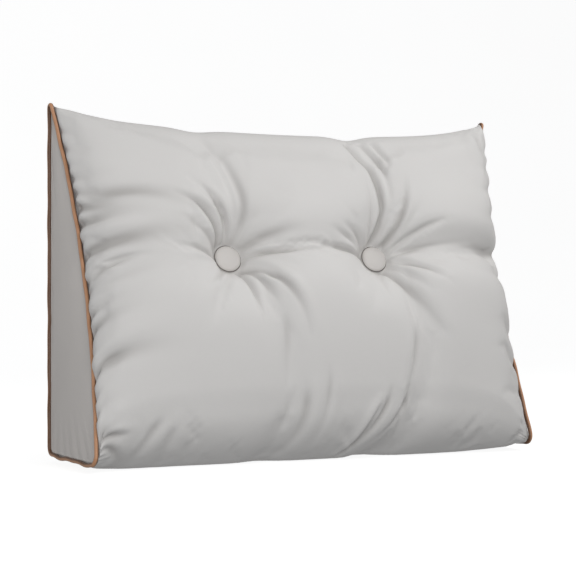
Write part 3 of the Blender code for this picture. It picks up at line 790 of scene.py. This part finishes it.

# %% [markdown]
# ## The piping
#
# Piping is a cotton cord in a strip of copper-brown satin, cut on the bias and sewn into the seam. The strip's
# two layers leave the cord as a flat tape that goes into the seam, and the sewing pulls the cord a little from
# side to side. A tube with a round section, carried along the seam on whole arrays, shows a bend in and out
# of less than a millimetre, and a slight pinch of its section at every stitch.

# %% Piping cords
def cord_rings(side, parts=620, sides=18):
    """A circle of 3 mm carried along the seam: point = path + radius * (cos a * out + sin a * side)."""
    dense = np.linspace(0, 6, 4001)[:-1]
    path = cap_points(side, np.ones_like(dense), dense, 0.0, 0.0)
    steps = np.linalg.norm(np.diff(path, axis=0, append=path[:1]), axis=-1)
    reached = np.concatenate(([0.0], np.cumsum(steps)))
    metres = np.linspace(0, reached[-1], parts, endpoint=False)
    loop_here = np.interp(metres, reached, np.append(dense, 6.0))
    centre = cap_points(side, np.ones_like(loop_here), loop_here, 0.0, 0.0)
    outward = belt(seam_circles(side), loop_here)[1]
    out = np.stack((np.zeros(parts), outward[:, 0], outward[:, 1]), axis=-1)
    along = np.roll(centre, -1, axis=0) - np.roll(centre, 1, axis=0)
    along /= np.linalg.norm(along, axis=-1, keepdims=True)
    sideways = np.cross(along, out)
    sideways *= np.sign(sideways[:, :1]) * side
    turn = 2 * math.pi * metres / reached[-1]
    wobble = 0.0008 * (np.sin(turn * 13 + side) + 0.8 * np.sin(turn * 23 + 1))
    angle = np.linspace(0, 2 * math.pi, sides, endpoint=False)
    pucker = 1 - 0.035 * (0.5 + 0.5 * np.cos(2 * math.pi * metres / STITCH))[:, None] * np.cos(angle) ** 4
    radius = CORD_RADIUS * pucker[..., None]
    centre = centre + out * wobble[:, None]
    rings = centre[:, None] + radius * (
        np.cos(angle)[None, :, None] * out[:, None] + np.sin(angle)[None, :, None] * sideways[:, None]
    )
    return rings, metres, reached[-1]


def closed_tube(name, rings, metres, total):
    """A tube whose last ring meets its first, with UVs of metres along and the share round."""
    parts, sides = rings.shape[:2]
    i, j = np.meshgrid(np.arange(parts), np.arange(sides), indexing="ij")
    next_i, next_j = (i + 1) % parts, (j + 1) % sides
    corners = ((i, j), (i, next_j), (next_i, next_j), (next_i, j))
    faces = np.stack([ring * sides + place for ring, place in corners], -1).reshape(-1, 4)
    ahead = np.append(metres, total)
    steps = ((0, 0), (0, 1), (1, 1), (1, 0))
    uvs = np.stack([np.stack((ahead[i + a], (j + b) / sides), -1) for a, b in steps], axis=-2).reshape(-1, 2)
    points = rings.reshape(-1, 3)
    piece = outward_piece(name, mesh_from(name, points, faces), uvs, points, faces)
    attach(piece, "root")
    print(f"{name}: {total:.3f} m long, {len(faces)} faces")
    return piece


for side, word in WORDS.items():
    cord = closed_tube(f"corded_seam_{word}", *cord_rings(side))
    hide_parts(f"piping_{word}")

# %% [markdown]
# ## The covered buttons
#
# A covered button is a metal shell with cloth stretched over it and tucked in behind. From the front it is a low
# dome with a soft edge, and a narrow groove where the shell's ring grips the cloth, which the finish darkens with
# painted shade. A profile turned about the button's axis gives the dome and the groove in one piece.

# %% Covered buttons
BUTTON_PROFILE = np.array((
    # radius and height, in tenths of a millimetre
    (4, 85), (35, 85), (70, 84), (105, 80), (135, 74), (158, 66), (174, 57), (184, 47), (190, 37), (192, 28),
    (193, 21), (196, 18), (199, 21), (202, 23), (205, 20), (205, 13), (200, 8), (185, 5), (120, 4), (4, 4),
)) / 10000
RING_ROW = 11


def metres_along(profile):
    return np.cumsum(np.hypot(*np.diff(profile, axis=0, prepend=profile[:1]).T))


def turned(name, profile, centre, normal, sides=96):
    """A profile of (radius, height) turned about a normal: every ring is a circle in the seat's plane."""
    right = np.cross((0.0, 0.0, 1.0), normal)
    right /= np.linalg.norm(right)
    upward = np.cross(normal, right)
    angle = np.linspace(0, 2 * math.pi, sides, endpoint=False)
    circle = np.cos(angle)[:, None] * right + np.sin(angle)[:, None] * upward
    rings = centre + profile[:, 0, None, None] * circle[None] + profile[:, 1, None, None] * normal
    return piece_from_rings(name, rings, metres_along(profile), np.arange(sides + 1) / sides)


for side, word in WORDS.items():
    centre, normal = SEATS[side]
    button = turned(f"covered_button_{word}", BUTTON_PROFILE, centre, normal)
    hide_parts(f"button_{word}")

# %% [markdown]
# ## Writing materials as sums
#
# A finish is a small piece of arithmetic: a weave is two waves, a stitch mark is a wave times a fade. Written as
# nodes by hand that takes pages, so one small class wraps a socket and lets Python's own signs add the nodes.

# %% A socket that can be added and multiplied
class Value:
    """A number that varies over a surface, as the output of a node."""

    def __init__(self, finish, socket):
        self.finish, self.socket = finish, socket

    def _math(self, operation, first, second=None):
        inputs = {0: first} if second is None else {0: first, 1: second}
        return self.finish.node("ShaderNodeMath", {"operation": operation}, inputs)

    def __add__(self, other):
        return self._math("ADD", self, other)

    def __sub__(self, other):
        return self._math("SUBTRACT", self, other)

    def __rsub__(self, other):
        return self._math("SUBTRACT", other, self)

    def __mul__(self, other):
        return self._math("MULTIPLY", self, other)

    def __truediv__(self, other):
        return self._math("DIVIDE", self, other)

    def __pow__(self, other):
        return self._math("POWER", self, other)

    __radd__ = __add__
    __rmul__ = __mul__

    def sine(self):
        return self._math("SINE", self)

    def positive(self):
        return self._math("MAXIMUM", self, 0.0)

    def up_to_one(self):
        return self._math("MINIMUM", self, 1.0)

    def size(self):
        return self._math("ABSOLUTE", self)


class Finish:
    """A material with one Principled shader and a method that adds any other node."""

    def __init__(self, name, roughness, sheen=0.0, sheen_roughness=0.4):
        self.material = bpy.data.materials.new(name)
        self.material.use_nodes = True
        self.tree = self.material.node_tree
        self.shader = self.tree.nodes["Principled BSDF"]
        self.shader.inputs["Roughness"].default_value = roughness
        self.shader.inputs["Sheen Weight"].default_value = sheen
        self.shader.inputs["Sheen Roughness"].default_value = sheen_roughness
        self.shader.inputs["Metallic"].default_value = 0.0

    def put(self, socket, value):
        if isinstance(value, Value):
            self.tree.links.new(value.socket, socket)
        else:
            socket.default_value = value

    def node(self, kind, settings=None, inputs=None, output=0):
        made = self.tree.nodes.new(kind)
        for name, value in (settings or {}).items():
            setattr(made, name, value)
        for name, value in (inputs or {}).items():
            self.put(made.inputs[name], value)
        return Value(self, made.outputs[output])

    def set(self, socket, value):
        self.put(self.shader.inputs[socket], value)

    def cloth_uv(self):
        whole = self.node("ShaderNodeUVMap", {"uv_map": "cloth"})
        return (
            self.node("ShaderNodeSeparateXYZ", inputs={0: whole}, output=0),
            self.node("ShaderNodeSeparateXYZ", inputs={0: whole}, output=1),
        )

    def place(self):
        return self.node("ShaderNodeTexCoord", output=3)

    def carried(self, name):
        """A number that the mesh carries for each of its points."""
        return self.node("ShaderNodeAttribute", {"attribute_name": name}, output=2)

    def noise(self, scale, detail=3.0, vector=None, stretch=(1, 1, 1)):
        where = self.node("ShaderNodeMapping", inputs={0: vector or self.place(), 3: stretch})
        return self.node("ShaderNodeTexNoise", inputs={"Vector": where, "Scale": scale, "Detail": detail})

    def mix(self, factor, first, second):
        return self.node("ShaderNodeMix", {"data_type": "RGBA"}, {0: factor, 6: first, 7: second}, output=2)

    def bump(self, height, distance, strength=1.0, after=None):
        inputs = {"Height": height, "Distance": distance, "Strength": strength}
        if after is not None:
            inputs["Normal"] = after
        return self.node("ShaderNodeBump", inputs=inputs)


def linear(red, green, blue, alpha=1.0):
    """Colour as a shader wants it, from the numbers of a picture, 0 to 255."""
    parts = np.array((red, green, blue)) / 255
    parts = np.where(parts <= 0.04045, parts / 12.92, ((parts + 0.055) / 1.055) ** 2.4)
    return (*parts.tolist(), alpha)


print("picture grey 205 is", round(linear(205, 205, 205)[0], 3), "to the shader")

# %% [markdown]
# ## Soft grey cloth
#
# The cover is a smooth brushed cloth, pale warm grey, with a soft sheen. Its threads are about half a millimetre
# apart, so from a step away they only break up the light, and from close by they show as a plain weave. The colour
# varies slightly and slowly, as dyed cloth does. Inside a fold it is darkened with painted shade, where less light
# comes in. Beside the corded seam the needle's pull puckers the cloth, and the puckers' shade is painted as a row
# of short dark ticks, one to each stitch.

# %% Cloth finish
THREAD = 0.00055
TICK_AWAY, TICK_HALF = 0.0050, 0.0035


def weave(finish, u, v, thread=THREAD):
    """Plain weave: the product of two sine waves, one along each thread direction."""
    turns = 2 * math.pi / (2 * thread)
    return ((u * turns).sine() * (v * turns).sine() + 1) * 0.5


def cloth_finish(name, light, dark, roughness=0.62, paint_shade=False):
    finish = Finish(name, roughness, sheen=0.25, sheen_roughness=0.45)
    finish.shader.inputs["Sheen Tint"].default_value = linear(245, 240, 236)
    u, v = finish.cloth_uv()
    slow = finish.noise(4.0, 3.0)
    fine = finish.noise(420.0, 2.0)
    colour = finish.mix(slow * 0.9 + fine * 0.25 - 0.1, light, dark)
    if paint_shade:
        # Painted shade: the colour gets darker inside folds, the more so the deeper the fold.
        colour = finish.mix((finish.carried("fold") ** 1.4) * 0.5, colour, linear(138, 134, 130))
        # Painted shade of the seam's puckers: short dark ticks, one to each stitch, in a band beside the seam.
        beside = (1 - (finish.carried("edge") - TICK_AWAY).size() / TICK_HALF).positive()
        pucker_shade = ((v * (2 * math.pi / STITCH)).sine() * 0.5 + 0.5) ** 3
        colour = finish.mix(beside * pucker_shade * 0.45, colour, linear(120, 112, 104))
    finish.set("Base Color", colour)
    finish.set("Roughness", roughness - 0.05 + finish.noise(60.0, 2.0) * 0.1)
    threads = weave(finish, u, v)
    slubs = finish.noise(1.0, 2.0, finish.node("ShaderNodeUVMap", {"uv_map": "cloth"}), (120, 1500, 1))
    rumple = finish.noise(34.0, 4.0)
    normal = finish.bump(rumple, 0.0012, 0.35)
    normal = finish.bump(threads * 0.7 + slubs * 0.3, 0.00012, 0.6, after=normal)
    finish.set("Normal", normal)
    return finish


cover_finish = cloth_finish("brushed_cloth", linear(219, 217, 215), linear(209, 207, 205), paint_shade=True)
panel_finish = cloth_finish("end_panel_cloth", linear(212, 207, 203), linear(202, 197, 193))
button_finish = cloth_finish("button_cloth", linear(214, 210, 207), linear(205, 201, 197), 0.58)
cover.data.materials.append(cover_finish.material)
for word in ("left", "right"):
    bpy.data.objects[f"side_cloth_{word}"].data.materials.append(panel_finish.material)
print("cloth finishes:", cover_finish.material.name, panel_finish.material.name)

# %% [markdown]
# ## Painted shade at the button's ring
#
# The ring that grips the cloth lies between two radii of the turned profile, and the profile's own coordinate
# tells how far along it a point is. So the line is a band of that coordinate, painted darker than the cloth:
# painted shade of the gap between the button and the cloth.

# %% Button finish
ring_place = float(metres_along(BUTTON_PROFILE)[RING_ROW])
u, _ = button_finish.cloth_uv()
# Painted shade: a dark band round the button's edge, where the gap to the cloth lies in shade.
ring = ((1 - (u - ring_place).size() / 0.0013).positive() * 2.2).up_to_one()
cloth_colour = Value(button_finish, button_finish.shader.inputs["Base Color"].links[0].from_socket)
button_finish.set("Base Color", button_finish.mix(ring, cloth_colour, linear(96, 92, 88)))
for word in ("left", "right"):
    bpy.data.objects[f"covered_button_{word}"].data.materials.append(button_finish.material)
print("ring at", round(ring_place * 1000, 2), "mm along the profile")

# %% [markdown]
# ## Copper-brown satin
#
# The piping's strip is satin cut on the bias, so its fine ribs run round the cord at a slant. A painted highlight
# lightens it along the top of the cord, and painted shade darkens it towards the tape on either side, where the
# sewing thread lies.

# %% Piping finish
satin = Finish("bias_satin", 0.36, sheen=0.1, sheen_roughness=0.3)
metres, turn = satin.cloth_uv()
slant = (metres * (2 * math.pi / 0.0011) + turn * (2 * math.pi * 6)).sine() * 0.5 + 0.5
# Painted highlight and shade: lighter along the cord's outermost side, dark towards the tape on both sides.
outermost = (turn * (2 * math.pi) + math.pi / 4).sine()
crown = ((outermost - 0.15).positive() * 1.5).up_to_one()
tone = satin.noise(40.0, 3.0)
bright = satin.mix(tone, linear(212, 160, 122), linear(190, 138, 102))
satin_colour = satin.mix(crown, linear(104, 72, 50), bright)
satin_colour = satin.mix(slant * 0.18, satin_colour, linear(120, 82, 56))
satin.set("Base Color", satin_colour)
satin.set("Roughness", 0.32 + slant * 0.12)
stitch = ((metres * (2 * math.pi / STITCH)).sine() * 0.5 + 0.5) ** 3
satin.set("Normal", satin.bump(slant * 0.4 + stitch * 0.6, 0.00018, 0.6))
for word in ("left", "right"):
    bpy.data.objects[f"corded_seam_{word}"].data.materials.append(satin.material)
print("piping finish:", satin.material.name)

# %% [markdown]
# ## Studio
#
# The photograph has a white ground without a horizon, and soft light from above. A floor that bends up behind the
# pillow gives the first, as a paper roll does in a studio. Four round lamps give the second: one above the front,
# one high on the right, a broad low one beside the camera and a weak one on the left. The bright room fills the
# shadows. The paper glows a little, so that it stays white, and throws no light back on the cloth.

# %% Floor, lights and room
def sweep(name, depth=7.0, rise=4.0, width=16.0, bend=1.5, behind=2.2):
    """A floor that turns up in a quarter circle: a profile of (y, z) carried along x."""
    turn = np.linspace(0, math.pi / 2, 14)
    y = np.concatenate(([-depth], behind + bend * np.sin(turn), [behind + bend]))
    z = np.concatenate(([0.0], bend * (1 - np.cos(turn)), [rise]))
    points = np.stack([np.stack((np.full(y.size, x), y, z), -1) for x in (-width / 2, width / 2)])
    n = y.size
    faces = [(j, n + j, n + j + 1, j + 1) for j in range(n - 1)]
    mesh = mesh_from(name, points.reshape(-1, 3), faces)
    mesh.shade_smooth()
    made = bpy.data.objects.new(name, mesh)
    made.location.z = -0.0005
    bpy.context.scene.collection.objects.link(made)
    return made


paper = Finish("white_paper", 0.9)
paper.set("Base Color", paper.mix(paper.noise(3.0), linear(150, 150, 150), linear(142, 142, 142)))
paper.shader.inputs["Emission Color"].default_value = (1, 1, 1, 1)
paper.shader.inputs["Emission Strength"].default_value = 0.86
ground = sweep("paper_sweep")
ground.data.materials.append(paper.material)
ground.visible_diffuse = ground.visible_glossy = ground.visible_shadow = False


def lamp(name, azimuth, elevation, distance, size, power, colour=(1, 1, 1)):
    turn, lift = math.radians(azimuth), math.radians(elevation)
    way = Vector((math.sin(turn) * math.cos(lift), -math.cos(turn) * math.cos(lift), math.sin(lift)))
    made = bpy.data.objects.new(name, bpy.data.lights.new(name, "AREA"))
    made.data.shape = "DISK"
    made.data.size, made.data.energy, made.data.color = size, power, colour
    made.location = Vector((0, 0, 0.25)) + way * distance
    made.rotation_euler = way.to_track_quat("Z", "Y").to_euler()
    bpy.context.scene.collection.objects.link(made)
    print(name, power, "W,", distance, "m away")


lamp("key", 8, 45, 2.6, 1.0, 18, (1.0, 0.99, 0.98))
lamp("top", 80, 50, 2.6, 1.2, 17)
lamp("front", -20, 3, 2.8, 1.6, 25)
lamp("left", -105, 12, 2.6, 1.6, 9)

world = bpy.data.worlds.new("bright_room")
world.use_nodes = True
sky = world.node_tree
direction = sky.nodes.new("ShaderNodeTexCoord").outputs["Generated"]
split = sky.nodes.new("ShaderNodeSeparateXYZ")
sky.links.new(direction, split.inputs[0])
shade = sky.nodes.new("ShaderNodeMapRange")
shade.inputs["From Min"].default_value, shade.inputs["From Max"].default_value = -0.6, 0.9
shade.inputs["To Min"].default_value, shade.inputs["To Max"].default_value = 0.27, 0.29
sky.links.new(split.outputs["Z"], shade.inputs["Value"])
sky.links.new(shade.outputs["Result"], sky.nodes["Background"].inputs["Strength"])
sky.nodes["Background"].inputs["Color"].default_value = (0.97, 0.985, 1.0, 1)
bpy.context.scene.world = world
bpy.context.scene.view_settings.view_transform = "Standard"
